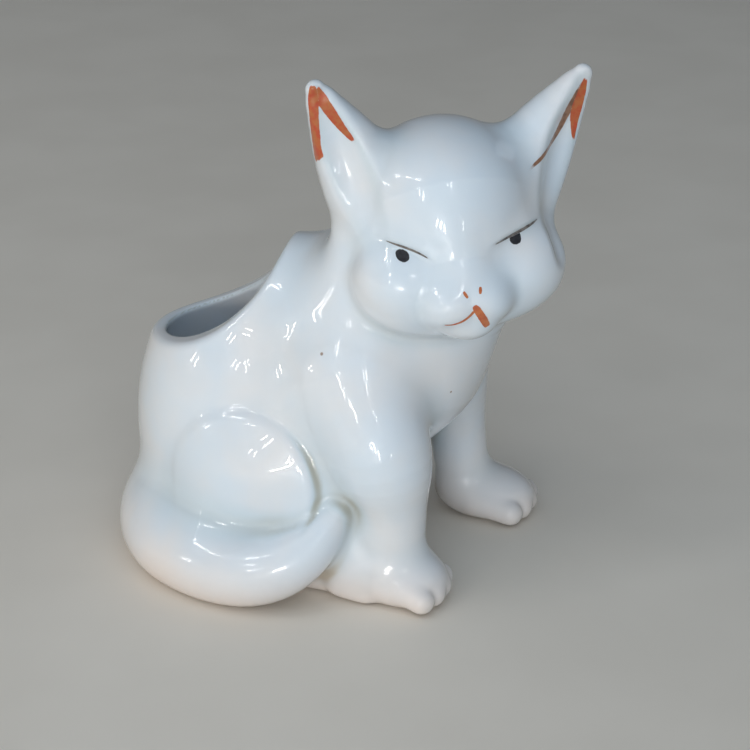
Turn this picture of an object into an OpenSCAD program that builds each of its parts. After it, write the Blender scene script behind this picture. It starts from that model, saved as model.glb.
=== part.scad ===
// Seated ceramic cat with a hollow body open at the back.
// Millimetres, +Z up. The body faces -Y and the cat's right side is -X.
// The origin is on the flat resting face, under the middle of the body.

/* [Body] */
// Width of the round barrel of the body
body_w = 44; // [40:1:48]
// Front to back length of the barrel
body_d = 48; // [44:1:52]
// Height of the top of the barrel before the opening is cut
body_h = 60; // [56:1:64]
// Width across the chest
chest_w = 37; // [33:1:40]
// Width across both haunches
haunch_w = 54; // [51:1:57]
// Height of the round haunch swelling
haunch_h = 29; // [26:1:32]
// Thickness of the cast wall
wall = 2.8; // [2.2:0.1:3.4]

/* [Opening] */
// Radius of the dished surface the opening is cut along
mouth_r = 27.5; // [26:0.5:29]
// Height of the low rear rim of the opening
mouth_low = 42.5; // [41:0.5:44]
// Sideways tilt of the opening; negative values raise its right rim
mouth_tilt = -3; // [-5:1:2]

/* [Head] */
// Width across the cheeks
head_w = 41; // [38:1:44]
// Height of the middle of the head
head_z = 66; // [64:1:68]
// Turn of the head towards the cat's right
head_turn = 52; // [46:1:58]
// Tilt of the head that drops the left ear
head_roll = 2; // [0:1:4]
// Tilt of the eyes and mouth on the head that lifts the left eye
face_roll = 5.5; // [3:0.5:8]
// Diameter of the neck under the head
neck_w = 26; // [24:1:29]
// Height of an ear tip above the middle of the head
ear_h = 30; // [27:1:33]
// Distance between the two ear tips
ear_span = 51; // [47:1:54]

/* [Legs] */
// Distance between the middles of the front paws
stance_w = 37; // [35:1:39]
// Diameter of the straight part of a foreleg
leg_w = 12; // [11:0.5:13]
// Length of a front paw
paw_l = 17; // [16:0.5:18]
// Width of a front paw
paw_w = 14; // [13:0.5:15]
// Distance both forelegs stand to the cat's left of the middle
leg_shift = 5; // [4:0.5:6]
// Extra length of the left front paw
stride = 3; // [1.5:0.5:4]

/* [Tail] */
// Thickness of the tail where it leaves the body
tail_w = 14; // [12.5:0.5:15]
// Height of the tail tip above the ground
tail_rise = 20; // [17:1:22]

/* [Enamel] */
// Thickness of the fired enamel on the glaze
enamel_t = 0.35; // [0.25:0.05:0.5]
// Diameter of a pupil
pupil_d = 2.9; // [2.4:0.1:3.4]
// Width of the broad stroke below the nose
stroke_w = 2; // [1.6:0.1:2.4]

/* [Hidden] */
$fn = 24;
big = 200;
body_y = 7;
body_zc = body_h * 0.42;
body_rz = body_h - body_zc;
chest_y = -14.5;
chest_z = body_h * 0.7;
haunch_x = (haunch_w - 23) / 2;
haunch_z = haunch_h * 0.73;
haunch_r = [11.5, 15.5, haunch_h / 2];
neck_low = [0, -11, head_z - 17];
neck_top = [-0.5, -22, head_z - 5];
neck_r = neck_w / 2;
neck_lean = 42;
neck_cut_y = -19;
neck_cut_z = head_z - 9;
mouth_y = 27.4;
mouth_z = mouth_low + mouth_r;
head_at = [-0.3, -29.6, head_z];
cheek_x = head_w / 2 - 9.2;
ear_x = ear_span / 2;
leg_x = stance_w / 2;
leg_r = leg_w / 2;
leg_y = -25.5;
shoulder_z = 41;
paw_z = 4.8;
toe_r = 2.7;
tail_r = tail_w / 2;
tail_y = 24;
tail_x = -25.5;

// A rounded lump with its own three half lengths.
module egg(centre, radii) {
    hull()
        translate(centre)
            scale(radii)
                sphere(1);
}

// A tapering round limb from one point to another.
module limb(a, ra, b, rb) {
    hull() {
        translate(a)
            sphere(ra);
        translate(b)
            sphere(rb);
    }
}

// Everything above the ground.
module above_ground() {
    intersection() {
        children();
        translate([-big / 2, -big / 2, 0])
            cube([big, big, big]);
    }
}

// The barrel, chest, haunches and base swelling, grown by g.
module trunk(g) {
    hull() {
        translate([0, body_y, body_zc])
            scale([body_w / 2 + g, body_d / 2 + g, body_rz + g])
                sphere(1, $fn = 32);
    }
    hull() {
        translate([1.5, chest_y, chest_z])
            scale([chest_w / 2 + g, 17.6 + g, 19 + g])
                sphere(1);
        translate([0, chest_y + 9, chest_z - 22])
            scale([chest_w / 2 + g, 15 + g, 16 + g])
                sphere(1);
    }
    hull() {
        translate([0, chest_y + 8, chest_z - 22])
            scale([chest_w / 2 + g, 17 + g, 14 + g])
                sphere(1);
        translate([0, body_y, 12])
            scale([body_w / 2 - 2 + g, body_d / 2 - 2 + g, 12.5 + g])
                sphere(1);
    }
    egg([0, body_y + 1, 9], [body_w / 2 + g, body_d / 2 + g, 12 + g]);
    for (side = [-1, 1])
        egg([side * haunch_x, 1, haunch_z], haunch_r + [g, g, g]);
}

// The neck, grown by g.
module neck(g) {
    limb([0, -6, head_z - 25], neck_r + 4 + g, neck_low, neck_r + 2 + g);
    limb(neck_low, neck_r + 2 + g, neck_top, neck_r + g);
    hull() {
        translate([0, -5, head_z - 17])
            sphere(neck_r - 1 + g);
        translate([0, -5, head_z - 11])
            sphere(neck_r - 3.2 + g);
        translate(neck_top)
            sphere(neck_r - 1 + g);
    }
}

// Everything below the slanting plane where the head is stuck on.
module below_neck_joint() {
    translate([0, neck_cut_y, neck_cut_z])
        rotate([neck_lean, 0, 0])
            translate([-big / 2, -big / 2, -big])
                cube([big, big, big]);
}

// The outside of the body casting before the opening is cut.
module body_solid() {
    above_ground() {
        union() {
            trunk(0);
            intersection() {
                neck(0);
                below_neck_joint();
            }
        }
    }
}

// The dished cut that opens the back of the body.
module mouth_cut() {
    translate([0, mouth_y, mouth_z])
        rotate([0, 90 - mouth_tilt, 0])
            cylinder(h = big, r = mouth_r, center = true, $fn = 48);
}

// The hollow inside the body, one wall thickness in from the outside.
module body_hollow() {
    intersection() {
        union() {
            trunk(-wall);
            neck(-wall - 1.5);
        }
        translate([-big / 2, -big / 2, wall])
            cube([big, big, big]);
    }
}

module torso() {
    color([0.88, 0.93, 0.97])
        difference() {
            body_solid();
            body_hollow();
            mouth_cut();
        }
}

// Moves a shape from head coordinates to its place on the neck.
module on_neck() {
    translate(head_at)
        rotate([0, head_roll, -head_turn])
            children();
}

// The outside of the head without ears, grown by g.
module face(g) {
    hull()
        translate([0, 3, 6])
            scale([17 + g, 16.5 + g, 16 + g])
                sphere(1, $fn = 32);
    hull()
        for (side = [-1, 1])
            translate([side * cheek_x * 0.55, -1.5, -5])
                scale([9 + g, 12 + g, 10 + g])
                    sphere(1);
    for (side = [-1, 1]) {
        hull() {
            translate([side * cheek_x, -3.5, -3.5])
                scale([9.2 + g, 9.5 + g, 8.6 + g])
                    sphere(1);
            translate([side * 6, 1, 3])
                scale([9 + g, 13 + g, 12 + g])
                    sphere(1);
        }
        hull() {
            translate([side * 9, -6.2, 7.6])
                sphere(4.6 + g);
            translate([side * 5, 0, 8])
                scale([11 + g, 12 + g, 11 + g])
                    sphere(1);
        }
        egg([side * 3.2, -12.3, -6.1], [5.2 + g, 6 + g, 4.5 + g]);
    }
    limb([0, -6, 5], 7.6 + g, [0, -12, -2.6], 5.4 + g);
    limb([0, -6, -7], 6 + g, [0, -13.6, -9.8], 3.2 + g);
}

// The hollow inside the head, open down into the neck.
module head_hollow() {
    on_neck()
        egg([0, 2.5, 4], [12.5, 12, 12]);
    limb(neck_top + [0, 2, 3], 7, neck_low, 8);
}

module head() {
    color([0.88, 0.93, 0.97])
        difference() {
            on_neck()
                face(0);
            head_hollow();
            body_solid();
        }
}

// One ear in head coordinates, side is -1 for right and 1 for left.
module ear_shape(side, g) {
    difference() {
        union() {
            limb([side * 12, 3.6, 7.5], 8.6 + g, [side * ear_x * 0.71, 3.4, 17.4], 6.2 + g);
            limb(
                [side * ear_x * 0.71, 3.4, 17.4],
                6.2 + g,
                [side * (ear_x - 0.8), 2, ear_h - 1.6],
                1.6 + g
            );
        }
        limb([side * 19.4, -6.2, 6], 4.2 - g, [side * ear_x * 0.86, -4, 17], 3.8 - g);
        limb(
            [side * ear_x * 0.86, -4, 17],
            3.8 - g,
            [side * (ear_x - 0.8), -0.8, ear_h - 3],
            0.9 - g
        );
    }
}

module right_ear() {
    color([0.88, 0.93, 0.97])
        on_neck()
            difference() {
                ear_shape(-1, 0);
                face(0);
            }
}

module left_ear() {
    color([0.88, 0.93, 0.97])
        on_neck()
            difference() {
                ear_shape(1, 0);
                face(0);
            }
}

// One foreleg with a paw of four toes; the paw is longer by the distance given.
module foreleg_shape(side, longer) {
    x = side * leg_x + leg_shift;
    y = leg_y;
    half = (paw_l + longer) / 2;
    above_ground() {
        union() {
            limb([side * 12 + 1, y + 9, shoulder_z], leg_r + 4, [side * 17.5 + 2, y + 2, 30], leg_r + 2);
            limb([side * 17.5 + 2, y + 2, 30], leg_r + 2, [x - 1, y + 0.5, 20], leg_r);
            limb([x - 1, y + 0.5, 20], leg_r, [x, y, 9], leg_r - 0.8);
            egg([x, y - half + 5.5, paw_z], [paw_w / 2, half, 5.4]);
            for (toe = [-1.5, -0.5, 0.5, 1.5])
                limb(
                    [x + toe * paw_w / 5, y - 3, paw_z - 0.5],
                    toe_r,
                    [x + toe * paw_w / 4.2, y - half * 2 + 8.4 + abs(toe) * 0.9, paw_z - 1.9],
                    toe_r
                );
        }
    }
}

module right_foreleg() {
    color([0.88, 0.93, 0.97])
        difference() {
            foreleg_shape(-1, 0);
            body_solid();
        }
}

module left_foreleg() {
    color([0.88, 0.93, 0.97])
        difference() {
            foreleg_shape(1, stride);
            body_solid();
        }
}

// One hind foot lying flat beside the belly, toes pointing forward.
module hind_foot_shape(side) {
    x = side * 16.5;
    y = side < 0 ? -7 : -3;
    above_ground() {
        union() {
            limb([x, y, 4.5], 5, [x, y - 9.5, 4], 4.6);
            for (toe = [-1, 0, 1])
                limb([x + toe * 3, y - 8.5, 3.6], 3, [x + toe * 3.2, y - 13, 2.6], 2.6);
        }
    }
}

module right_hind_foot() {
    color([0.88, 0.93, 0.97])
        difference() {
            hind_foot_shape(-1);
            body_solid();
            foreleg_shape(-1, 0);
            tail_shape();
        }
}

module left_hind_foot() {
    color([0.88, 0.93, 0.97])
        difference() {
            hind_foot_shape(1);
            body_solid();
            foreleg_shape(1, stride);
        }
}

// The tail, leaving the rear and wrapping round the right side.
module tail_shape() {
    above_ground() {
        union() {
            limb([2, tail_y + 1, 7], tail_r - 0.5, [-12, tail_y, 6.5], tail_r);
            limb([-12, tail_y, 6.5], tail_r, [tail_x + 3, tail_y - 9, 6.5], tail_r);
            limb([tail_x + 3, tail_y - 9, 6.5], tail_r, [tail_x, 5, 6.5], tail_r - 0.2);
            limb([tail_x, 5, 6.5], tail_r - 0.2, [tail_x - 0.5, -4, 7], tail_r - 1);
            limb([tail_x - 0.5, -4, 7], tail_r - 1, [tail_x + 0.8, -11, 10.5], tail_r - 2.6);
            limb([tail_x + 0.8, -11, 10.5], tail_r - 2.6, [-22.6, -15, 15], 3.2);
            limb([-22.6, -15, 15], 3.2, [-21, -16.8, tail_rise - 2], 2.2);
        }
    }
}

module tail() {
    color([0.88, 0.93, 0.97])
        difference() {
            tail_shape();
            body_solid();
            foreleg_shape(-1, 0);
        }
}

// The thin layer lying on the face wherever the children reach it.
module face_enamel() {
    on_neck()
        difference() {
            intersection() {
                face(enamel_t);
                rotate([0, -face_roll, -5])
                    children();
            }
            face(0);
        }
}

// A straight stroke seen from the front, from (x, z) a to b, reaching back through the face.
module stroke(a, b, d) {
    hull()
        for (at = [a, b])
            translate([at[0], -26, at[1]])
                rotate([-90, 0, 0])
                    cylinder(h = 18, d = d, $fn = 16);
}

// A round bar from one point to another, used to bound a painted stroke.
module bar(a, b, d) {
    hull() {
        translate(a)
            sphere(d / 2, $fn = 12);
        translate(b)
            sphere(d / 2, $fn = 12);
    }
}

module pupil(side) {
    face_enamel()
        translate([side * 10, -22, 2.6])
            rotate([-90, 0, 0])
                cylinder(h = 18, d = pupil_d);
}

module right_pupil() {
    color([0.08, 0.08, 0.1])
        pupil(-1);
}

module left_pupil() {
    color([0.08, 0.08, 0.1])
        pupil(1);
}

// A slanting slab through the face, bounding one eyelid line.
module eyelid_line(side) {
    face_enamel()
        translate([side * 10, -14, 4.6])
            rotate([0, -side * 14, 0])
                cube([8.4, 16, 0.8], center = true);
}

module right_eyelid_line() {
    color([0.2, 0.18, 0.18])
        eyelid_line(-1);
}

module left_eyelid_line() {
    color([0.2, 0.18, 0.18])
        eyelid_line(1);
}

module nostril_marks() {
    color([0.85, 0.35, 0.15])
        face_enamel()
            for (side = [-1, 1])
                translate([0.3 + side * 1.4, -22, -3])
                    rotate([-90, 0, 0])
                        cylinder(h = 14, d = 1.3);
}

module mouth_line() {
    color([0.85, 0.38, 0.2])
        face_enamel() {
            union() {
                stroke([-4.8, -8.5], [-2.6, -8.2], 0.8);
                stroke([-2.6, -8.2], [-1.2, -7.2], 0.8);
            }
        }
}

module mouth_stroke() {
    color([0.85, 0.38, 0.12])
        face_enamel()
            stroke([0.6, -6], [2.4, -9.2], stroke_w);
}

// Two strokes of enamel meeting at the tip, on the scooped face of one ear.
module ear_enamel(side) {
    tip = [side * (ear_x - 1), 0, ear_h - 3];
    on_neck()
        difference() {
            intersection() {
                ear_shape(side, enamel_t);
                union() {
                    bar(tip + [0, -4, 0], tip + [-side * 7.5, -3, -10], 3);
                    bar(tip + [0, -4, 0], tip + [side * 1, -4, -13], 3);
                    bar(tip + [0, 0, 0], tip + [-side * 7.5, 0, -10], 3);
                    bar(tip + [0, 0, 0], tip + [side * 1, 0, -13], 3);
                }
            }
            ear_shape(side, 0);
            face(enamel_t);
            translate([side * (ear_x - 1.5) - 12, 1, ear_h - 22])
                cube([24, 20, 30]);
        }
}

module right_ear_enamel() {
    color([0.75, 0.35, 0.12])
        ear_enamel(-1);
}

module left_ear_enamel() {
    color([0.62, 0.3, 0.14])
        ear_enamel(1);
}

torso();
head();
right_ear();
left_ear();
right_foreleg();
left_foreleg();
right_hind_foot();
left_hind_foot();
tail();
right_pupil();
left_pupil();
right_eyelid_line();
left_eyelid_line();
nostril_marks();
mouth_line();
mouth_stroke();
right_ear_enamel();
left_ear_enamel();
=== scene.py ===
"""A small glazed porcelain cat, hollow and open at the back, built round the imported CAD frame."""

import math
from concurrent.futures import ThreadPoolExecutor

import bpy
import numpy as np
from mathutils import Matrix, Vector


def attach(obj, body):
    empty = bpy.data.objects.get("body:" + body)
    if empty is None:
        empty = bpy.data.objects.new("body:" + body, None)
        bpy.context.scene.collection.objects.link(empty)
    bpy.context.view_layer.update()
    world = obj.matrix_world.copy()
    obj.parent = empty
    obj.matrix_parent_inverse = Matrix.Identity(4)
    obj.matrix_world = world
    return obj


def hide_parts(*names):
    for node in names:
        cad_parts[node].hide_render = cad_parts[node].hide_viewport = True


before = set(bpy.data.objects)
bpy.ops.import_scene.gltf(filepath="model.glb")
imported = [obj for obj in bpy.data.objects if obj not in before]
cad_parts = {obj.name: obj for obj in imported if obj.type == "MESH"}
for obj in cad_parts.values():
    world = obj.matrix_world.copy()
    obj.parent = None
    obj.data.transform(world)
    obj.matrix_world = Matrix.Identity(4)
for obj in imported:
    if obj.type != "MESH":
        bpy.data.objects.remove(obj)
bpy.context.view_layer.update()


# ---------------------------------------------------------------- sizes, in millimetres and degrees

# The planned height, which sets how high the head sits, and the thickness of the wall.
TALL = 98.4
WALL = 2.8

# How the head is turned and tipped on the body, and where the origin of head coordinates is.
HEAD_TURN = -52.0
HEAD_ROLL = 1.5
HEAD_AT = np.array([-0.3, -29.6, 0.671 * TALL])

# The opening is cut by a round bar of this radius that lies across the back, tilted and turned a little.
MOUTH_RADIUS = 27.5
MOUTH_TILT = -3.0
MOUTH_TURN = 9.5
MOUTH_AT = np.array([0.0, 27.4, 70.5])

# Spacing of the grids that the figure and the cutters are meshed on.
GRID_STEP = 0.53
CUTTER_STEP = 0.9


# ---------------------------------------------------------------- distance fields

def rotation(axis, degrees):
    """A 3 by 3 matrix that turns about the y or the z axis."""
    c = math.cos(math.radians(degrees))
    s = math.sin(math.radians(degrees))
    if axis == "y":
        return np.array([[c, 0, s], [0, 1, 0], [-s, 0, c]])
    return np.array([[c, -s, 0], [s, c, 0], [0, 0, 1]])


def egg(p, centre, radii):
    """Distance to an ellipsoid."""
    radii = np.asarray(radii, p.dtype)
    q = (p - np.asarray(centre, p.dtype)) / radii
    near = np.sqrt((q * q).sum(-1))
    q /= radii
    slope = np.sqrt((q * q).sum(-1)) + 1e-9
    return near * (near - 1.0) / slope


def limb(p, a, ra, b, rb):
    """Distance to a tapering round limb between two points."""
    a = np.asarray(a, p.dtype)
    b = np.asarray(b, p.dtype)
    from_a = p - a
    along = b - a
    t = np.clip((from_a @ along) / (along @ along), 0, 1)
    return np.sqrt(((from_a - t[..., None] * along) ** 2).sum(-1)) - (ra + (rb - ra) * t)


def blend(a, b, k):
    """The union of two fields with a fillet of about k."""
    h = np.maximum(k - np.abs(a - b), 0.0) / k
    return np.minimum(a, b) - h * h * k * 0.25


def carve(a, b, k):
    """Field a with field b cut away, the edge rounded by about k."""
    return -blend(-a, b, k)


def smooth_route(points, between=5):
    """Points on a Catmull-Rom curve through (x, y, z, radius) points."""
    pts = [np.array(q, float) for q in points]
    pts = [2 * pts[0] - pts[1]] + pts + [2 * pts[-1] - pts[-2]]
    out = []
    for a, b, c, d in zip(pts, pts[1:], pts[2:], pts[3:]):
        square = 2 * a - 5 * b + 4 * c - d
        cube = 3 * b - a - 3 * c + d
        for i in range(between):
            t = i / between
            out.append(0.5 * (2 * b + (c - a) * t + square * t**2 + cube * t**3))
    out.append(pts[-2])
    return out


def chain(p, points):
    """A smooth limb through (x, y, z, radius) points."""
    out = None
    route = smooth_route(points)
    for one, two in zip(route, route[1:]):
        part = limb(p, one[:3], one[3], two[:3], two[3])
        out = part if out is None else blend(out, part, 1.2)
    return out


def mirrored(p):
    """The points folded onto the +X side."""
    q = p.copy()
    q[..., 0] = np.abs(q[..., 0])
    return q


def within(p, centre, reach, field, spare=14.0):
    """A field worked out only inside a ball, with a safe distance outside it."""
    away = np.sqrt(((p - np.asarray(centre, p.dtype)) ** 2).sum(-1))
    out = (away - reach + spare).astype(p.dtype)
    inside = away < reach
    if inside.any():
        out[inside] = field(p[inside])
    return out


# ---------------------------------------------------------------- the cat's shape

HEAD_AXES = rotation("z", HEAD_TURN) @ rotation("y", HEAD_ROLL)
FACE_AXES = rotation("z", -5.0) @ rotation("y", -5.5)

# The thigh's oval outline seen from the side, as (y, z), and how far the skin swells inside it and sinks
# outside it.
HAUNCH_AT = (1.5, 22.0)
HAUNCH_SIZE = (14.6, 13.8)
HAUNCH_STEP = 0.55


def beyond_haunch(m):
    """How far a point lies outside the thigh's oval outline, seen from the side."""
    y = (m[:, 1] - HAUNCH_AT[0]) / HAUNCH_SIZE[0]
    z = (m[:, 2] - HAUNCH_AT[1]) / HAUNCH_SIZE[1]
    return (np.sqrt(y * y + z * z + 1e-6) - 1) * HAUNCH_SIZE[1]


def haunch_edge(m):
    """The soft step round the thigh: the skin swells inside its outline and sinks outside it."""
    outside = beyond_haunch(m)
    fade = np.where(outside > 0, np.exp(-outside / 4.0), np.exp(outside / 6.0))
    where = np.clip((m[:, 0] - 8) / 8, 0, 1) * np.clip((20 - m[:, 1]) / 20, 0, 1)
    return -HAUNCH_STEP * np.tanh(outside / 0.9) * fade * where


def trunk(p):
    """Barrel, chest, haunches and the swelling at the base."""
    m = mirrored(p)
    d = blend(egg(p, (0, 7, 25), (22.3, 24.3, 35)), egg(p, (2.5, -15.5, 43), (18, 18.5, 21)), 9)
    d = blend(d, egg(p, (-1, -6, 19), (19, 16, 20)), 9)
    d = blend(d, egg(m, (15.3, 1, 22), (11.0, 15.5, 14)), 4)
    return blend(d, egg(p, (0, 8, 8), (21.5, 21.5, 11)), 5)


# The fold that runs down the neck from the root of the right ear: (x, y, z, radius) in head coordinates.
NECK_FOLD = [(-15.4, 3.4, 5, 3.6), (-15.4, 2.4, -1, 4.9), (-14.4, 3.0, -8, 7.0), (-12.5, 5.0, -17, 11.2)]


def neck(p):
    """Neck, throat, nape and the fold below the right ear."""
    d = limb(p, (0, -11.2, 48.8), 13.9, (-1, -22.6, 61), 12.0)
    d = blend(d, limb(p, (5, -21, 45), 14.8, (4, -29.5, 56), 12.0), 5)
    d = blend(d, limb(p, (0, -3.5, 47.2), 12.0, (0, -0.2, 52.8), 8.8), 3)
    return blend(d, chain(to_head(p), NECK_FOLD), 4)


def body(p):
    """Trunk and neck together."""
    return blend(trunk(p), neck(p), 8)


# Root to tip: (x, y, z, radius).
TAIL_ROUTE = [
    (4, 25, 6.5, 6.0),
    (-10, 24.6, 6.5, 6.8),
    (-20, 18.2, 6.5, 7.0),
    (-25.4, 8.5, 6.5, 6.8),
    (-27, -0.5, 7.0, 6.4),
    (-26.2, -7.5, 9, 5.6),
    (-24, -13, 13.0, 4.2),
    (-21.2, -16.6, 18.6, 2.0),
]


def tail(p):
    """The tail, which lies round the right side with its tip up."""
    return chain(p, TAIL_ROUTE)


# Shoulder to ankle: (x, y, z, radius). The right leg is -1 and the left leg is 1.
FORELEGS = {
    -1: [(-11, -16, 42, 10.2), (-15.8, -23.5, 30, 8.6), (-15, -25.3, 20, 5.9), (-13.8, -25.3, 9, 5.1)],
    1: [(13, -22.5, 42, 10.6), (19.5, -23.5, 31, 7.6), (22.6, -24.4, 20, 5.4), (23.6, -25.6, 9, 4.9)],
}
# How far each paw is lengthened forwards, and set outwards from its ankle.
PAW_REACH = {-1: -0.2, 1: 1.9}
PAW_OUT = {-1: -0.6, 1: 1.0}


def foreleg(p, side):
    """One straight foreleg with its paw and four toes."""
    ankle = FORELEGS[side][-1]
    d = chain(p, FORELEGS[side])
    q = p - np.array([ankle[0] + PAW_OUT[side], ankle[1], 0], p.dtype)
    ahead = PAW_REACH[side]
    paw = egg(q, (0, -2.6 - ahead, 4.4), (7.2, 8.2 + ahead, 5.4))
    for toe in (-1.5, -0.5, 0.5, 1.5):
        front = -9.0 - 2 * ahead + 0.9 * abs(toe)
        paw = blend(paw, limb(q, (toe * 3.0, -4, 4.2), 2.9, (toe * 3.4, front, 2.9), 2.5), 0.8)
    return blend(d, paw, 4)


# The heel of each hind foot, as (x, y).
HIND_FEET = {-1: (-15.5, -6.5), 1: (17, -1.5)}


def hind_foot(p, side):
    """One hind foot lying along the ground, three toes showing."""
    x, y = HIND_FEET[side]
    q = p - np.array([x, y, 0], p.dtype)
    d = limb(q, (0, 0, 4.5), 5, (0, -11, 4), 4.6)
    for toe in (-1, 0, 1):
        d = blend(d, limb(q, (toe * 3, -10, 3.4), 2.8, (toe * 3.2, -14.6, 2.4), 2.3), 0.9)
    return d


# Each eyelid crease runs from its inner to its outer end, as (x, z) in face coordinates. LID_SWELL is how
# far the skin swells above it.
LIDS = {-1: ((-6.0, 2.8), (-13.4, 5.7)), 1: ((5.4, 3.4), (15.0, 5.0))}
LID_SWELL = 0.42


def eyelid(q, side):
    """How far the surface swells above a slanting eyelid crease and sinks below it."""
    (x, z), (x_out, z_out) = LIDS[side]
    run, rise = abs(x_out - x), z_out - z
    across = side * (q[:, 0] - x)
    along = (across * run + (q[:, 2] - z) * rise) / (run**2 + rise**2)
    above = ((q[:, 2] - z) * run - across * rise) / np.hypot(run, rise)
    above = above - 0.5 * np.sin(np.pi * np.clip(along, 0, 1))
    ends = np.clip((along + 0.15) / 0.35, 0, 1) * np.clip((1.25 - along) / 0.45, 0, 1)
    fade = np.where(above > 0, np.exp(-above / 3.2), np.exp(above / 2.4))
    return LID_SWELL * np.tanh(above / 0.75) * fade * ends * np.clip((-3 - q[:, 1]) / 3, 0, 1)


def face(h):
    """The head without ears, in head coordinates. The features sit a little askew on the skull."""
    q = h @ FACE_AXES.astype(h.dtype)
    m = mirrored(q)
    brow = limb(q, (0, -3, 8), 11.0, (0, -11.0, -1.5), 5.8)
    d = blend(egg(h, (0.4, 3, 6), (16.6, 16.5, 16)), brow, 5)
    left_cheek = egg(q, (11.0, -4.4, -3.6), (9.6, 10.4, 9.2))
    right_cheek = egg(q, (-9.9, -5.4, -3.4), (8.8, 9.6, 9.0))
    d = blend(d, np.minimum(left_cheek, right_cheek), 4)
    d = blend(d, egg(q, (0, -3, -6), (14, 12.5, 10)), 5)
    d = blend(d, egg(q, (0.4, -11.0, -5.4), (8.6, 7.6, 6.0)), 2.2)
    d = blend(d, egg(m, (3.4, -14.4, -6.2), (4.0, 4.2, 3.6)), 2.6)
    d = blend(d, egg(q, (0.4, -13.2, -10.2), (4.6, 4.4, 3.2)), 2.2)
    return d - eyelid(q, -1) - eyelid(q, 1)


# The left ear and the hollow in its front, as (x, y, z, radius) in head coordinates. The right ear mirrors
# them, and EAR_SHIFT then moves both sideways.
EAR_SHIFT = np.array([-0.7, 0, 0])
EAR_ROUTE = [(12.4, 3.4, 7, 8.4), (17.9, 3.4, 17.0, 6.1), (24.7, 2, 28.9, 1.8)]
SCOOP_ROUTE = [
    (18.6, -12.4, 1, 2.6),
    (19.3, -6.4, 9, 3.4),
    (21.3, -3.5, 18, 3.5),
    (24, -1.7, 26, 1.7),
    (24.6, -0.8, 28.3, 0.7),
]


def to_head(p):
    """Body coordinates to head coordinates."""
    return (p - HEAD_AT.astype(p.dtype)) @ HEAD_AXES.astype(p.dtype)


def ear_field(p, side):
    """One ear before it is scooped out."""
    h = to_head(p) + EAR_SHIFT.astype(p.dtype)
    h[..., 0] *= side
    return chain(h, EAR_ROUTE)


def head(p):
    """The whole head, given points in body coordinates."""
    h = to_head(p)
    m = mirrored(h + EAR_SHIFT.astype(p.dtype))
    d = blend(face(h), chain(m, EAR_ROUTE), 5)
    return carve(d, chain(m, SCOOP_ROUTE), 2.0)


def mouth_cut(p):
    """The round bar that the opening in the back is cut by."""
    tilt = math.radians(MOUTH_TILT)
    turn = math.radians(MOUTH_TURN)
    level = math.cos(tilt)
    axis = np.array([level * math.cos(turn), level * math.sin(turn), math.sin(tilt)], p.dtype)
    q = p - MOUTH_AT.astype(p.dtype)
    q = q - (q @ axis)[..., None] * axis
    return np.sqrt((q * q).sum(-1)) - MOUTH_RADIUS


def hollow(p):
    """The space inside the castings: the trunk less its wall, narrowing upwards, and the neck."""
    d = np.maximum(trunk(p) + WALL, WALL + 0.5 - p[..., 2])
    q = p - np.array([0, 12, 0], p.dtype)
    width = 11.5 + 0.45 * np.maximum(46 - q[..., 2], 0)
    throat = (np.sqrt((q[..., 0] / width) ** 2 + (q[..., 1] / 19) ** 2) - 1) * width
    d = carve(d, -throat, 4)
    d = blend(d, limb(p, (0, 13, 45), 10.5, (0, 2.5, 57.5), 3.8), 3)
    return blend(d, neck(p) + WALL + 1.5, 6)


def web(p, d):
    """Fills the corners between belly, flank and right foreleg, and steps the skin round both thighs."""
    d = blend(d, limb(p, (-9, -8, 14), 11, (-12, -19, 8), 6.5), 6)
    d = blend(d, limb(p, (-14.5, -12, 18), 8, (-16, -18, 7), 6.5), 5)
    d = blend(d, limb(p, (-10.5, -8, 36), 9.5, (-12.5, -11, 27), 7.5), 6)
    return d - haunch_edge(mirrored(p))


def figure(p):
    """The whole cat as one field."""
    d = web(p, body(p))
    for side in (-1, 1):
        x, y = FORELEGS[side][2][:2]
        d = blend(d, within(p, (x, y + 3, 25), 45, lambda q: foreleg(q, side)), 5)
        d = blend(d, within(p, (side * 17, -10, 5), 32, lambda q: hind_foot(q, side)), 2)
    d = blend(d, tail(p), 2 + 7 * np.clip((p[..., 1] + 10) / 18, 0, 1))
    d = blend(d, within(p, HEAD_AT, 52, head), 1.7)
    d = carve(d, hollow(p), 1.6)
    d = carve(d, mouth_cut(p), 1.2)
    return carve(d, p[..., 2], 1.0)


# Where each casting's cutter is meshed, low and high corners.
REGIONS = {
    "right_ear": ((-32, -32, 62), (6, 6, 102)),
    "left_ear": ((-8, -58, 62), (26, -20, 102)),
    "tail": ((-38, -24, -4), (12, 36, 26)),
    "right_hind_foot": ((-26, -28, -4), (-4, 4, 16)),
    "left_hind_foot": ((6, -24, -4), (28, 8, 16)),
    "right_foreleg": ((-28, -46, -4), (0, -2, 60)),
    "left_foreleg": ((0, -50, -4), (34, -2, 60)),
    "head": ((-30, -56, 42), (28, -4, 96)),
}
FIGURE_LOW = np.array([-38.0, -56.0, -3.0])
FIGURE_HIGH = np.array([34.0, 38.0, 104.0])


# ---------------------------------------------------------------- from fields to meshes

WORKERS = ThreadPoolExecutor(4)


def evaluate(field, points):
    """The field at many points, worked out in parallel and in order."""
    points = np.asarray(points, np.float32)
    parts = np.array_split(points, max(1, len(points) // 20000))
    return np.concatenate(list(WORKERS.map(field, parts)))


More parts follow.
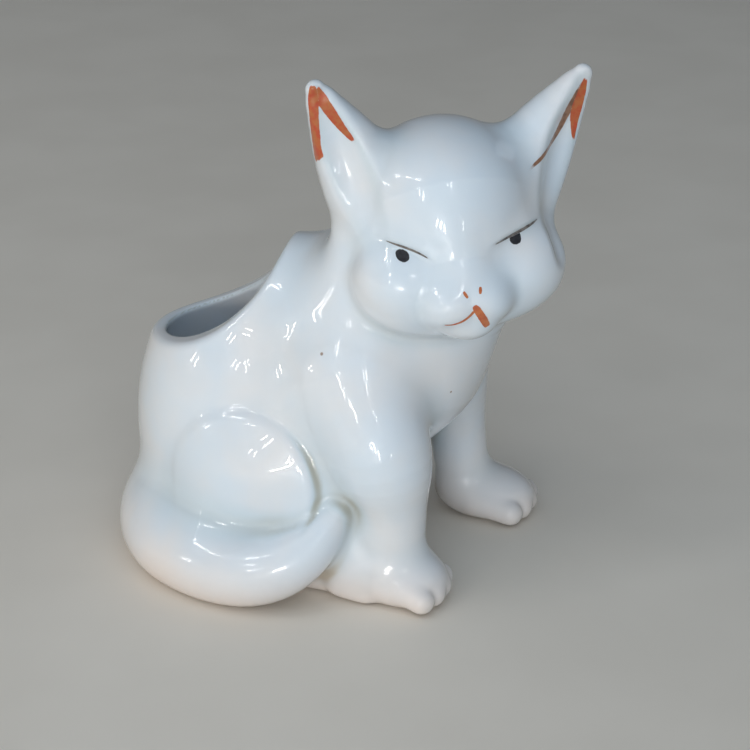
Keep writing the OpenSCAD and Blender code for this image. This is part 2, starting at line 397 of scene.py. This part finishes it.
def sample(field, low, high, step, block=16, slack=1.7):
    """The field on a grid, worked out finely only in blocks that the surface may cross."""
    counts = np.ceil((high - low) / step / block).astype(int) + 1
    volume = np.empty(counts * block, np.float32)
    index = np.stack(np.meshgrid(*[np.arange(n) for n in counts], indexing="ij"), -1).reshape(-1, 3)
    centres = (low + (index * block + block / 2) * step).astype(np.float32)
    rough = evaluate(field, centres)
    close = np.abs(rough) < math.sqrt(3) * block / 2 * step * slack
    shaped = volume.reshape(counts[0], block, counts[1], block, counts[2], block)
    for (i, j, k), value in zip(index[~close], rough[~close]):
        shaped[i, :, j, :, k, :] = value
    cell = np.stack(np.meshgrid(*[np.arange(block)] * 3, indexing="ij"), -1).reshape(-1, 3) * step
    blocks = index[close]
    for start in range(0, len(blocks), 48):
        part = blocks[start : start + 48]
        points = (low + part[:, None, :] * block * step + cell[None]).astype(np.float32)
        values = evaluate(field, points.reshape(-1, 3)).reshape(len(part), block, block, block)
        for (i, j, k), value in zip(part, values):
            shaped[i, :, j, :, k, :] = value
    return volume


CELL_CORNERS = [(i, j, k) for i in (0, 1) for j in (0, 1) for k in (0, 1)]


def net_places(volume, cells):
    """The mean of the points where the surface crosses each cell's edges, from 0 to 1 in the cell."""
    total = np.zeros((len(cells), 3))
    hits = np.zeros(len(cells))
    value = {c: volume[cells[:, 0] + c[0], cells[:, 1] + c[1], cells[:, 2] + c[2]] for c in CELL_CORNERS}
    for one in CELL_CORNERS:
        for axis in range(3):
            if one[axis]:
                continue
            two = tuple(1 if n == axis else one[n] for n in range(3))
            crossing = (value[one] < 0) != (value[two] < 0)
            gap = np.where(crossing, value[one] - value[two], 1)
            place = np.tile(np.array(one, float), (len(cells), 1))
            place[:, axis] += np.where(crossing, value[one] / gap, 0)
            total[crossing] += place[crossing]
            hits[crossing] += 1
    return total / hits[:, None]


def net_quads(inside, number, axis):
    """A quad round each grid edge along one axis that the surface crosses."""
    size = inside.shape
    first = [slice(1, n - 1) for n in size]
    second = [slice(1, n - 1) for n in size]
    first[axis] = slice(0, size[axis] - 1)
    second[axis] = slice(1, size[axis])
    edges = np.argwhere(inside[tuple(first)] != inside[tuple(second)])
    edges = edges + np.array([0 if n == axis else 1 for n in range(3)])
    outward = inside[edges[:, 0], edges[:, 1], edges[:, 2]]
    around = []
    for du, dw in ((1, 1), (0, 1), (0, 0), (1, 0)):
        c = edges.copy()
        c[:, (axis + 1) % 3] -= du
        c[:, (axis + 2) % 3] -= dw
        around.append(number[c[:, 0], c[:, 1], c[:, 2]])
    quad = np.stack(around, 1)
    quad[~outward] = quad[~outward][:, ::-1]
    return quad


def surface_net(volume, low, step):
    """Vertices and quads of the zero surface of a sampled field."""
    inside = volume < 0
    size = volume.shape
    count = np.zeros(tuple(n - 1 for n in size), np.int8)
    for i, j, k in CELL_CORNERS:
        count += inside[i : size[0] - 1 + i, j : size[1] - 1 + j, k : size[2] - 1 + k]
    active = (count > 0) & (count < 8)
    cells = np.argwhere(active)
    number = np.full(count.shape, -1, np.int64)
    number[active] = np.arange(len(cells))
    vertices = low + (cells + net_places(volume, cells)) * step
    quads = [net_quads(inside, number, axis) for axis in range(3)]
    return vertices, np.concatenate(quads)


def gradient(field, points, reach=0.08):
    """The direction in which the field rises, one unit vector a point."""
    corners = reach * np.array([(1, -1, -1), (-1, -1, 1), (-1, 1, -1), (1, 1, 1)])
    values = evaluate(field, (points[None] + corners[:, None]).reshape(-1, 3))
    g = (values.reshape(4, -1, 1).astype(float) * np.sign(corners)[:, None]).sum(0)
    return g / (np.linalg.norm(g, axis=1, keepdims=True) + 1e-9)


def settle(field, points, rounds=2):
    """Points moved on to the zero surface."""
    for _ in range(rounds):
        off = np.clip(evaluate(field, points), -0.5, 0.5)[:, None]
        points = points - gradient(field, points) * off
    return points


def new_mesh(name, vertices, faces):
    """A Blender mesh object from millimetre vertices."""
    mesh = bpy.data.meshes.new(name)
    mesh.from_pydata((np.asarray(vertices) / 1000).tolist(), [], [list(f) for f in faces])
    mesh.update()
    thing = bpy.data.objects.new(name, mesh)
    bpy.context.scene.collection.objects.link(thing)
    return thing


def field_object(name, field, low, high, step, exact):
    """A closed mesh object of a field's zero surface."""
    low = np.asarray(low, float)
    volume = sample(field, low, np.asarray(high, float), step)
    for axis in range(3):
        edge = [slice(None)] * 3
        for end in (0, -1):
            edge[axis] = end
            volume[tuple(edge)] = np.maximum(volume[tuple(edge)], 0.2)
    vertices, quads = surface_net(volume, low, step)
    if exact:
        vertices = settle(field, vertices)
    return new_mesh(name, vertices, quads)


# ---------------------------------------------------------------- the castings

# Each casting's own shape. They are parted in this order, and the torso is what is left.
CASTINGS = {
    "right_ear": lambda p: ear_field(p, -1),
    "left_ear": lambda p: ear_field(p, 1),
    "tail": tail,
    "right_hind_foot": lambda p: hind_foot(p, -1),
    "left_hind_foot": lambda p: hind_foot(p, 1),
    "right_foreleg": lambda p: foreleg(p, -1),
    "left_foreleg": lambda p: foreleg(p, 1),
    "head": lambda p: face(to_head(p)),
    "torso": lambda p: web(p, body(p)),
}

# The castings that each one is parted from.
NEIGHBOURS = {
    "right_ear": ("head", "torso"),
    "left_ear": ("head", "torso"),
    "tail": ("right_hind_foot", "right_foreleg", "torso"),
    "right_hind_foot": ("right_foreleg", "torso"),
    "left_hind_foot": ("left_foreleg", "torso"),
    "right_foreleg": ("head", "torso"),
    "left_foreleg": ("head", "torso"),
    "head": ("torso",),
}


def share(name):
    """A field that is negative where this casting is nearer than those it meets."""
    others = [CASTINGS[other] for other in NEIGHBOURS[name]]

    def field(p):
        nearest = others[0](p)
        for other in others[1:]:
            nearest = np.minimum(nearest, other(p))
        return CASTINGS[name](p) - nearest

    return field


def boolean(thing, cutter, operation):
    """A copy of a mesh object cut by another."""
    result = thing.copy()
    result.data = thing.data.copy()
    bpy.context.scene.collection.objects.link(result)
    step = result.modifiers.new("cut", "BOOLEAN")
    step.object = cutter
    step.operation = operation
    step.solver = "MANIFOLD"
    bpy.context.view_layer.update()
    cut = bpy.data.meshes.new_from_object(result.evaluated_get(bpy.context.evaluated_depsgraph_get()))
    result.modifiers.clear()
    result.data = cut
    return result


def vertex_array(mesh):
    """A mesh's vertices in millimetres."""
    co = np.empty(len(mesh.vertices) * 3, np.float32)
    mesh.vertices.foreach_get("co", co)
    return co.reshape(-1, 3).astype(float) * 1000


def set_float(mesh, name, values):
    """Stores one number a vertex for the materials."""
    attribute = mesh.attributes.new(name, "FLOAT", "POINT")
    attribute.data.foreach_set("value", np.asarray(values, np.float32))


# How far out a crease is felt for, in millimetres, with the weight of each reach, and the weight of the line
# round the thigh. Both feed the pooled glaze tint and the painted shade in creases.
POOL_AND_SHADE_REACHES = ((1.2, 0.4), (3.0, 0.7), (6.0, 0.18))
THIGH_SHADE_LINE = 0.36


def thigh_shade_line(points):
    """The narrow line of pooled glaze and painted shade along the front edge of each thigh, from 0 to 1."""
    front = np.clip((-7 - points[:, 1]) / 5, 0, 1) * np.clip((np.abs(points[:, 0]) - 12) / 6, 0, 1)
    line = np.exp(-(((beyond_haunch(points) - 0.4) / 0.7) ** 2))
    return line * front * np.clip((points[:, 2] - 14) / 6, 0, 1)


def pooling_and_crease_shade(points, normals):
    """How thickly the glaze has pooled at each point and how deep its painted shade is, from 0 on open
    surface to 1 in a crease.
    """
    pooled = np.zeros(len(points))
    for reach, weight in POOL_AND_SHADE_REACHES:
        clear = evaluate(figure, points + normals * reach) / reach
        pooled += weight * np.clip(1 - clear, 0, 1)
    return np.clip(pooled + THIGH_SHADE_LINE * thigh_shade_line(points), 0, 1)


def finish_casting(thing, material):
    """Smooth normals from the field on the skin, flat ones on the joint faces."""
    mesh = thing.data
    points = vertex_array(mesh)
    normals = gradient(figure, points)
    # The crease measure, for the pooled glaze tint and the painted shade in creases.
    set_float(mesh, "pool_and_shade", pooling_and_crease_shade(points, normals))
    joint_face = np.zeros(len(mesh.polygons), np.int32)
    mesh.polygons.foreach_get("material_index", joint_face)
    totals = np.zeros(len(mesh.polygons), np.int32)
    mesh.polygons.foreach_get("loop_total", totals)
    flat = np.zeros(len(mesh.polygons) * 3, np.float32)
    mesh.polygons.foreach_get("normal", flat)
    corner = np.zeros(len(mesh.loops), np.int32)
    mesh.loops.foreach_get("vertex_index", corner)
    on_joint = np.repeat(joint_face > 0, totals)
    chosen = np.where(on_joint[:, None], np.repeat(flat.reshape(-1, 3), totals, 0), normals[corner])
    mesh.polygons.foreach_set("material_index", np.zeros(len(mesh.polygons), np.int32))
    mesh.materials.clear()
    mesh.materials.append(material)
    mesh.shade_smooth()
    mesh.normals_split_custom_set(chosen.tolist())


def casting_cutter(name, skin, joint):
    """The mesh that parts a casting from the figure; its faces carry the joint material."""
    low, high = REGIONS[name]
    cutter = field_object("cutter", share(name), low, high, CUTTER_STEP, False)
    cutter.data.materials.append(skin)
    cutter.data.materials.append(joint)
    ones = np.ones(len(cutter.data.polygons), np.int32)
    cutter.data.polygons.foreach_set("material_index", ones)
    return cutter


def build_castings(material):
    """Meshes the whole figure and parts it into its castings."""
    step = GRID_STEP
    whole = field_object("figure", figure, FIGURE_LOW, FIGURE_HIGH, step, True)
    skin = bpy.data.materials.new("skin")
    joint = bpy.data.materials.new("joint")
    whole.data.materials.append(skin)
    whole.data.materials.append(joint)
    for name in CASTINGS:
        if name == "torso":
            piece = whole
        else:
            cutter = casting_cutter(name, skin, joint)
            piece = boolean(whole, cutter, "INTERSECT")
            rest = boolean(whole, cutter, "DIFFERENCE")
            bpy.data.objects.remove(whole)
            bpy.data.objects.remove(cutter)
            whole = rest
        piece.name = "cast_" + name
        finish_casting(piece, material)
        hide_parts(name)
        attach(piece, "root")


# ---------------------------------------------------------------- enamel painted on the glaze

# How far a film reaches down into the glaze, and how far off its stroke starts, in millimetres.
FILM_ROOT = 0.12
THROW = 16
# The way a stroke is thrown at the surface, and the plane that it is drawn on, in head coordinates.
FACE_AIM = (0, 1, 0)
RIGHT_EAR_AIM = (0.27, 0.87, -0.41)
RIGHT_EAR_DEPTH = 0.8


def on_surface(starts, heading):
    """Where rays from the starts meet the figure."""
    points = starts.copy()
    for _ in range(40):
        points = points + heading * np.clip(evaluate(figure, points), -1.0, 3.0)[:, None] * 0.9
    return settle(figure, points, 1)


def stroke_points(route, aim, depth, across, between=8):
    """A brush stroke's points on the surface, a row across it at a time, and the number of rows.

    route rows are (x, z, half width) in head coordinates on the plane y = depth. The stroke is thrown on to
    the surface along aim.
    """
    aim = np.asarray(aim, float) / np.linalg.norm(aim)
    curve = np.array(smooth_route(route, between))
    middle = curve[:, :2]
    tangent = np.gradient(middle, axis=0)
    tangent /= np.linalg.norm(tangent, axis=1, keepdims=True) + 1e-9
    side = np.stack([-tangent[:, 1], tangent[:, 0]], 1)
    spread = np.linspace(-1, 1, across)
    flat = middle[:, None] + side[:, None] * (curve[:, 2, None] * spread)[..., None]
    level = np.full(flat.shape[:2], depth)
    starts = np.stack([flat[..., 0], level, flat[..., 1]], -1).reshape(-1, 3)
    starts = (starts - aim * THROW) @ HEAD_AXES.T + HEAD_AT
    return on_surface(starts, aim @ HEAD_AXES.T), len(curve)


def paint_cover(rows, columns):
    """How thickly the enamel lies: 1 along the middle of a stroke, 0 at its ends and edges."""
    along = np.linspace(0, 1, rows)
    spread = np.linspace(-1, 1, columns)
    ends = np.clip(np.minimum(along, 1 - along) / 0.12, 0, 1)
    edge = np.clip((1 - np.abs(spread)) / 0.35, 0, 1)
    return (ends[:, None] * edge[None]).reshape(-1)


def shell_faces(rows, columns):
    """The faces of a top sheet, a bottom sheet and the rim that joins them."""
    number = np.arange(rows * columns).reshape(rows, columns)
    under = rows * columns
    faces = []
    for i in range(rows - 1):
        for j in range(columns - 1):
            a, b, c, d = number[i, j], number[i, j + 1], number[i + 1, j + 1], number[i + 1, j]
            faces.append((a, b, c, d))
            faces.append((under + d, under + c, under + b, under + a))
    rim = list(number[0]) + list(number[1:, -1]) + list(number[-1, -2::-1]) + list(number[-2:0:-1, 0])
    for a, b in zip(rim, rim[1:] + rim[:1]):
        faces.append((b, a, under + a, under + b))
    return faces


def film(name, cad_node, slot_name, material, route, aim, depth, lift, across):
    """A thin closed film of enamel laid on the surface along a brush stroke."""
    points, rows = stroke_points(route, aim, depth, across)
    normals = gradient(figure, points)
    normals /= np.linalg.norm(normals, axis=1, keepdims=True)
    paint = paint_cover(rows, across)
    top = points + normals * (lift * (0.3 + 0.7 * np.minimum(paint * 2, 1)))[:, None]
    bottom = points - normals * FILM_ROOT
    faces = shell_faces(rows, across)
    corner = rows // 2 * across + across // 2
    step_across = top[corner + 1] - top[corner]
    step_along = top[corner + across] - top[corner]
    if np.dot(np.cross(step_across, step_along), normals[corner]) < 0:
        faces = [face[::-1] for face in faces]
    thing = new_mesh(name, np.concatenate([top, bottom]), faces)
    mesh = thing.data
    set_float(mesh, "paint", np.concatenate([paint, paint]))
    set_float(mesh, "pool_and_shade", np.tile(pooling_and_crease_shade(points, normals), 2))
    mesh.shade_smooth()
    mesh.materials.append(material)
    mesh.normals_split_custom_set_from_vertices(np.concatenate([normals, -normals]))
    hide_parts(cad_node)
    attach(thing, "root")


# Each enamel mark: name, CAD node, enamel, columns of points, height above the glaze, and the brush stroke
# as (x, z, half width) in head coordinates.
MARKS = [
    (
        "right_pupil_dot",
        "right_pupil",
        "black",
        15,
        0.07,
        [(-12.7, 2.2, 0.28), (-12.3, 2.2, 0.82), (-11.6, 2.2, 1.08), (-10.9, 2.2, 0.82), (-10.5, 2.2, 0.28)],
    ),
    (
        "left_pupil_dot",
        "left_pupil",
        "black",
        15,
        0.07,
        [(7.2, 4.45, 0.3), (7.6, 4.45, 0.9), (8.4, 4.45, 1.15), (9.2, 4.45, 0.9), (9.6, 4.45, 0.3)],
    ),
    (
        "right_eyelid_stroke",
        "right_eyelid_line",
        "lid",
        9,
        0.15,
        [(-13.9, 4.1, 0.08), (-12.4, 3.8, 0.22), (-10.8, 3.5, 0.28), (-9.0, 2.9, 0.24), (-7.3, 2.0, 0.08)],
    ),
    (
        "left_eyelid_stroke",
        "left_eyelid_line",
        "lid",
        9,
        0.15,
        [(3.6, 4.1, 0.1), (5.9, 4.6, 0.26), (8.2, 5.15, 0.36), (10.9, 5.7, 0.36), (14.2, 6.3, 0.12)],
    ),
    (
        "right_nostril_tick",
        "nostril_marks",
        "orange",
        7,
        0.05,
        [(-2.6, -2.7, 0.2), (-2.3, -3.2, 0.32), (-1.9, -3.8, 0.2)],
    ),
    (
        "left_nostril_tick",
        "nostril_marks",
        "orange",
        7,
        0.05,
        [(0.45, -2.0, 0.2), (0.35, -2.6, 0.32), (0.25, -3.2, 0.2)],
    ),
    (
        "mouth_curve",
        "mouth_line",
        "orange",
        7,
        0.05,
        [(-5.8, -8.9, 0.12), (-4.2, -8.7, 0.2), (-2.6, -8.0, 0.27), (-1.4, -7.0, 0.3), (-0.7, -6.0, 0.3)],
    ),
    (
        "mouth_brush_stroke",
        "mouth_stroke",
        "orange",
        11,
        0.06,
        [(-0.9, -5.1, 0.45), (-0.3, -5.9, 0.72), (0.6, -7.2, 0.74), (1.7, -8.9, 0.72), (2.2, -9.7, 0.5)],
    ),
    (
        "right_ear_outer_stroke",
        "right_ear_enamel",
        "ear",
        13,
        0.07,
        [(-24.9, 30.3, 0.5), (-24.7, 28.0, 1.0), (-24.4, 23.5, 0.9), (-23.8, 18.8, 0.8), (-23.2, 16.4, 0.9)],
    ),
    (
        "right_ear_inner_stroke",
        "right_ear_enamel",
        "ear",
        13,
        0.06,
        [(-24.4, 29.8, 0.6), (-23.2, 27.5, 1.1), (-21.5, 24.9, 1.0), (-19.4, 22.0, 0.7), (-17.0, 19.0, 0.3)],
    ),
    (
        "left_ear_outer_stroke",
        "left_ear_enamel",
        "ear",
        13,
        0.07,
        [(25.6, 28.6, 0.4), (24.7, 25.5, 1.0), (23.9, 22.5, 1.15), (23.7, 19.8, 0.7), (23.7, 17.0, 0.25)],
    ),
    # The dark line on the left ear's inner rim: partly brown enamel, partly painted shade along the rim.
    (
        "left_ear_rim_line_and_shade",
        "left_ear_enamel",
        "rim",
        11,
        0.06,
        [(25.2, 28.2, 0.3), (22.6, 23.4, 0.9), (20.4, 19.2, 0.7), (17.4, 16.3, 0.5), (12.8, 13.8, 0.25)],
    ),
]

SLOTS = {
    "black": "black_enamel",
    "lid": "eyelid_enamel",
    "orange": "orange_enamel",
    "ear": "ear_enamel",
    "rim": "ear_enamel",
}


def paint_marks(materials):
    """Every enamel mark on the face and inside the ears."""
    for name, cad_node, kind, across, lift, route in MARKS:
        right_ear = name.startswith("right_ear")
        aim = RIGHT_EAR_AIM if right_ear else FACE_AIM
        depth = RIGHT_EAR_DEPTH if right_ear else 0
        film(name, cad_node, SLOTS[kind], materials[kind], route, aim, depth, lift, across)


# ---------------------------------------------------------------- materials

def node(tree, kind, **values):
    """A new shader node with some of its settings."""
    made = tree.nodes.new(kind)
    for key, value in values.items():
        setattr(made, key, value)
    return made


def mix_colour(tree, factor, one, two):
    """A colour mix; factor, one and two are sockets or plain values."""
    mix = node(tree, "ShaderNodeMix", data_type="RGBA")
    for socket, value in ((mix.inputs["Factor"], factor), (mix.inputs[6], one), (mix.inputs[7], two)):
        if isinstance(value, bpy.types.NodeSocket):
            tree.links.new(value, socket)
        else:
            socket.default_value = value if isinstance(value, float) else (*value, 1.0)
    return mix.outputs[2]


def ramp(tree, value, low, high, top=1.0):
    """Maps a socket from low..high on to 0..top, smoothly."""
    made = node(tree, "ShaderNodeMapRange", interpolation_type="SMOOTHSTEP")
    made.inputs["From Min"].default_value = low
    made.inputs["From Max"].default_value = high
    made.inputs["To Max"].default_value = top
    tree.links.new(value, made.inputs["Value"])
    return made.outputs["Result"]


def math_node(tree, operation, one, two):
    """One step of arithmetic on sockets or plain numbers."""
    made = node(tree, "ShaderNodeMath", operation=operation)
    for socket, value in zip(made.inputs, (one, two)):
        if isinstance(value, bpy.types.NodeSocket):
            tree.links.new(value, socket)
        else:
            socket.default_value = value
    return made.outputs[0]


def noise(tree, vector, scale, detail=2.0):
    """Soft procedural noise from 0 to 1."""
    made = node(tree, "ShaderNodeTexNoise")
    made.inputs["Scale"].default_value = scale
    made.inputs["Detail"].default_value = detail
    tree.links.new(vector, made.inputs["Vector"])
    return made.outputs["Fac"]


BLUE_WHITE = (0.70, 0.80, 0.90)
WARM_WHITE = (0.79, 0.81, 0.84)
# Pooled glaze is greener; the same tint also paints soft shade in the hollows.
POOL_AND_SHADE_TINT = (0.54, 0.66, 0.73)
# Painted shade: a dark olive tint deep in creases.
CREASE_SHADE = (0.36, 0.35, 0.27)
# Painted reflection: the warm glow of the floor on the glaze near the ground.
PAINTED_FLOOR_GLOW = (0.86, 0.66, 0.52)
SPECK_BROWN = (0.25, 0.14, 0.08)
# Brown specks in the glaze: where, and the radius, in millimetres.
SPECKS = [((-19.1, -13.2, 49.0), 0.4), ((-5.9, -33.1, 39.2), 0.3)]


def porcelain_colour(tree):
    """The glaze colour: cloudy blue-white and greener where it pools, with painted shade in creases and a
    painted warm reflection of the floor near the ground.
    """
    place = node(tree, "ShaderNodeTexCoord").outputs["Object"]
    cloud = ramp(tree, noise(tree, place, 45.0, 3.0), 0.35, 0.7)
    colour = mix_colour(tree, cloud, BLUE_WHITE, WARM_WHITE)
    pool_and_shade = node(tree, "ShaderNodeAttribute", attribute_name="pool_and_shade").outputs["Fac"]
    # Pooled glaze, its tint also painting soft shade in hollows.
    colour = mix_colour(tree, ramp(tree, pool_and_shade, 0.05, 0.5, 0.6), colour, POOL_AND_SHADE_TINT)
    # Painted shade deep in creases.
    colour = mix_colour(tree, ramp(tree, pool_and_shade, 0.32, 0.75, 0.75), colour, CREASE_SHADE)
    height = node(tree, "ShaderNodeSeparateXYZ")
    tree.links.new(place, height.inputs[0])
    # Painted reflection: warmer towards the ground, for the floor's warm light.
    low = ramp(tree, height.outputs["Z"], 0.016, 0.0, 0.5)
    colour = mix_colour(tree, low, colour, PAINTED_FLOOR_GLOW)
    for centre, radius in SPECKS:
        away = node(tree, "ShaderNodeVectorMath", operation="DISTANCE")
        tree.links.new(place, away.inputs[0])
        away.inputs[1].default_value = [c / 1000 for c in centre]
        dot = ramp(tree, away.outputs["Value"], radius / 1000, radius / 2000, 0.8)
        colour = mix_colour(tree, dot, colour, SPECK_BROWN)
    return colour, place


def glaze_shader(tree, colour, place):
    """A hard glossy glaze with a faint orange-peel waviness."""
    shader = node(tree, "ShaderNodeBsdfPrincipled")
    tree.links.new(colour, shader.inputs["Base Color"])
    shader.inputs["Roughness"].default_value = 0.28
    shader.inputs["IOR"].default_value = 1.5
    shader.inputs["Coat Weight"].default_value = 1.0
    shader.inputs["Coat Roughness"].default_value = 0.02
    shader.inputs["Coat IOR"].default_value = 1.5
    shader.inputs["Subsurface Weight"].default_value = 0.12
    shader.inputs["Subsurface Radius"].default_value = (0.003, 0.0028, 0.0026)
    shader.inputs["Subsurface Scale"].default_value = 1.0
    bump = node(tree, "ShaderNodeBump")
    bump.inputs["Strength"].default_value = 0.25
    bump.inputs["Distance"].default_value = 0.0002
    tree.links.new(noise(tree, place, 160.0, 1.0), bump.inputs["Height"])
    tree.links.new(bump.outputs["Normal"], shader.inputs["Normal"])
    tree.links.new(bump.outputs["Normal"], shader.inputs["Coat Normal"])
    output = node(tree, "ShaderNodeOutputMaterial")
    tree.links.new(shader.outputs["BSDF"], output.inputs["Surface"])


def new_material(name):
    """An empty node material."""
    material = bpy.data.materials.new(name)
    material.use_nodes = True
    material.node_tree.nodes.clear()
    return material


def porcelain():
    """The glazed body of every casting."""
    material = new_material("glazed_porcelain")
    tree = material.node_tree
    colour, place = porcelain_colour(tree)
    glaze_shader(tree, colour, place)
    return material


def enamel(name, thin, thick, full=0.45):
    """Overglaze colour that fades into the glaze at its edges and is uneven like a brush mark."""
    material = new_material(name)
    tree = material.node_tree
    under, place = porcelain_colour(tree)
    paint = node(tree, "ShaderNodeAttribute", attribute_name="paint").outputs["Fac"]
    blotch = noise(tree, place, 900.0, 3.0)
    colour = mix_colour(tree, ramp(tree, blotch, 0.35, 0.65), thin, thick)
    uneven = math_node(tree, "MULTIPLY", math_node(tree, "SUBTRACT", blotch, 0.5), 0.8)
    cover = math_node(tree, "ADD", paint, uneven)
    colour = mix_colour(tree, ramp(tree, cover, 0.15, full), under, colour)
    glaze_shader(tree, colour, place)
    return material


def enamels():
    """The enamels by kind: name, colour where thin, colour where thick, and where the cover is full."""
    return {
        "black": enamel("black_enamel", (0.035, 0.035, 0.04), (0.015, 0.015, 0.02)),
        "lid": enamel("eyelid_enamel", (0.22, 0.2, 0.19), (0.08, 0.07, 0.07), 0.7),
        "orange": enamel("orange_enamel", (0.58, 0.17, 0.05), (0.5, 0.1, 0.03)),
        "ear": enamel("ear_enamel", (0.5, 0.14, 0.035), (0.52, 0.07, 0.02)),
        # Partly brown enamel, partly painted shade along the left ear's inner rim.
        "rim": enamel("ear_shadow_enamel", (0.34, 0.17, 0.1), (0.2, 0.09, 0.05), 0.8),
    }


# ---------------------------------------------------------------- floor, light and camera

# Where the camera stands round the target, in degrees and millimetres, and its focal length in image pixels.
CAMERA = dict(azimuth=-69.0, elevation=24.0, distance=420.0, target=(4.0, -14.5, 35.5), focal=2226.0)
SENSOR_WIDTH = 36
IMAGE_WIDTH = 750
LOOK_AT = Vector(CAMERA["target"]) / 1000

FLOOR_HALF = 1600
FLOOR_DARK = (0.78, 0.73, 0.66)
FLOOR_PALE = (0.81, 0.76, 0.69)


def floor():
    """A plain pale floor."""
    h = FLOOR_HALF
    thing = new_mesh("floor", [(-h, -h, 0), (h, -h, 0), (h, h, 0), (-h, h, 0)], [(0, 1, 2, 3)])
    material = new_material("floor_paper")
    tree = material.node_tree
    place = node(tree, "ShaderNodeTexCoord").outputs["Object"]
    shader = node(tree, "ShaderNodeBsdfPrincipled")
    colour = mix_colour(tree, ramp(tree, noise(tree, place, 30.0), 0.3, 0.7), FLOOR_DARK, FLOOR_PALE)
    tree.links.new(colour, shader.inputs["Base Color"])
    shader.inputs["Roughness"].default_value = 0.75
    output = node(tree, "ShaderNodeOutputMaterial")
    tree.links.new(shader.outputs["BSDF"], output.inputs["Surface"])
    thing.data.materials.append(material)


def direction(azimuth, elevation):
    """The unit vector towards a viewer at this angle."""
    a = math.radians(azimuth)
    e = math.radians(elevation)
    return Vector((math.sin(a) * math.cos(e), -math.cos(a) * math.cos(e), math.sin(e)))


def softbox(name, azimuth, elevation, distance, width, height, power, colour):
    """A rectangular light that faces the figure."""
    data = bpy.data.lights.new(name, "AREA")
    data.shape = "RECTANGLE"
    data.size = width
    data.size_y = height
    data.energy = power
    data.color = colour
    thing = bpy.data.objects.new(name, data)
    bpy.context.scene.collection.objects.link(thing)
    thing.location = LOOK_AT + direction(azimuth, elevation) * distance
    thing.rotation_euler = direction(azimuth, elevation).to_track_quat("Z", "Y").to_euler()
    return thing


# Soft boxes that light the figure but don't show in its gloss: name, azimuth, elevation, distance, width,
# height, power, colour.
SOFT_BOXES = [
    ("sky", -74, 56, 0.9, 1.0, 1.0, 2.7, (0.82, 0.92, 1.0)),
    ("front", -68, 12, 1.0, 0.5, 0.5, 1.8, (0.76, 0.89, 1.0)),
    ("bounce", -105, 4, 0.8, 0.8, 0.12, 1.3, (1.0, 0.84, 0.66)),
    ("rear_bounce", -165, 6, 0.8, 0.6, 0.15, 0.5, (1.0, 0.80, 0.58)),
    ("behind", 150, 35, 1.0, 0.6, 0.6, 0.22, (0.9, 0.95, 1.0)),
]

# Window panes that make the glints: azimuth, elevation, number of panes and power of each pane.
WINDOWS = [
    (-112, 32, 2, 0.075),
    (-128, 49, 2, 0.075),
    (-146, 44, 2, 0.075),
    (-101, 18, 2, 0.075),
    (-81, 5, 3, 0.2),
    (-142, 12, 2, 0.075),
    (-60, 30, 2, 0.06),
    (-46, 7, 1, 0.05),
]
# Width and height of a pane in metres, its turn and drop from the one before, and its slant, in degrees.
PANE_SIZE = (0.010, 0.075)
PANE_STEP = 4.5
PANE_DROP = 0.8
PANE_SLANT = -28
PANE_DISTANCE = 0.8
PANE_COLOUR = (1, 0.98, 0.95)

ROOM_LOW = (0.95, 0.83, 0.70)
ROOM_HIGH = (0.78, 0.89, 1.0)
ROOM_STRENGTH = 0.17


def window(number, azimuth, elevation, panes, power):
    """A row of slanting panes."""
    for j in range(panes):
        name = f"window_{number}_pane_{j}"
        place = (azimuth + PANE_STEP * j, elevation - PANE_DROP * j, PANE_DISTANCE)
        pane = softbox(name, *place, *PANE_SIZE, power, PANE_COLOUR)
        pane.rotation_euler.rotate_axis("Z", math.radians(PANE_SLANT))


def lights():
    """A broad cool sky, a front fill, warm low bounces, window glints and a dim room all round."""
    for row in SOFT_BOXES:
        softbox(*row).visible_glossy = False
    for number, row in enumerate(WINDOWS):
        window(number, *row)
    world = bpy.data.worlds.new("studio")
    world.use_nodes = True
    tree = world.node_tree
    height = node(tree, "ShaderNodeSeparateXYZ")
    tree.links.new(node(tree, "ShaderNodeTexCoord").outputs["Generated"], height.inputs[0])
    sky = mix_colour(tree, ramp(tree, height.outputs["Z"], -0.1, 0.6), ROOM_LOW, ROOM_HIGH)
    tree.links.new(sky, tree.nodes["Background"].inputs["Color"])
    tree.nodes["Background"].inputs["Strength"].default_value = ROOM_STRENGTH
    bpy.context.scene.world = world
    bpy.context.scene.view_settings.view_transform = "Standard"


def camera():
    """The camera at the viewing angle."""
    data = bpy.data.cameras.new("camera")
    data.sensor_width = SENSOR_WIDTH
    data.lens = SENSOR_WIDTH * CAMERA["focal"] / IMAGE_WIDTH
    data.clip_start = 0.01
    thing = bpy.data.objects.new("camera", data)
    bpy.context.scene.collection.objects.link(thing)
    towards = direction(CAMERA["azimuth"], CAMERA["elevation"])
    thing.location = LOOK_AT + towards * CAMERA["distance"] / 1000
    thing.rotation_euler = towards.to_track_quat("Z", "Y").to_euler()
    bpy.context.scene.camera = thing


camera()
lights()
floor()
build_castings(porcelain())
paint_marks(enamels())
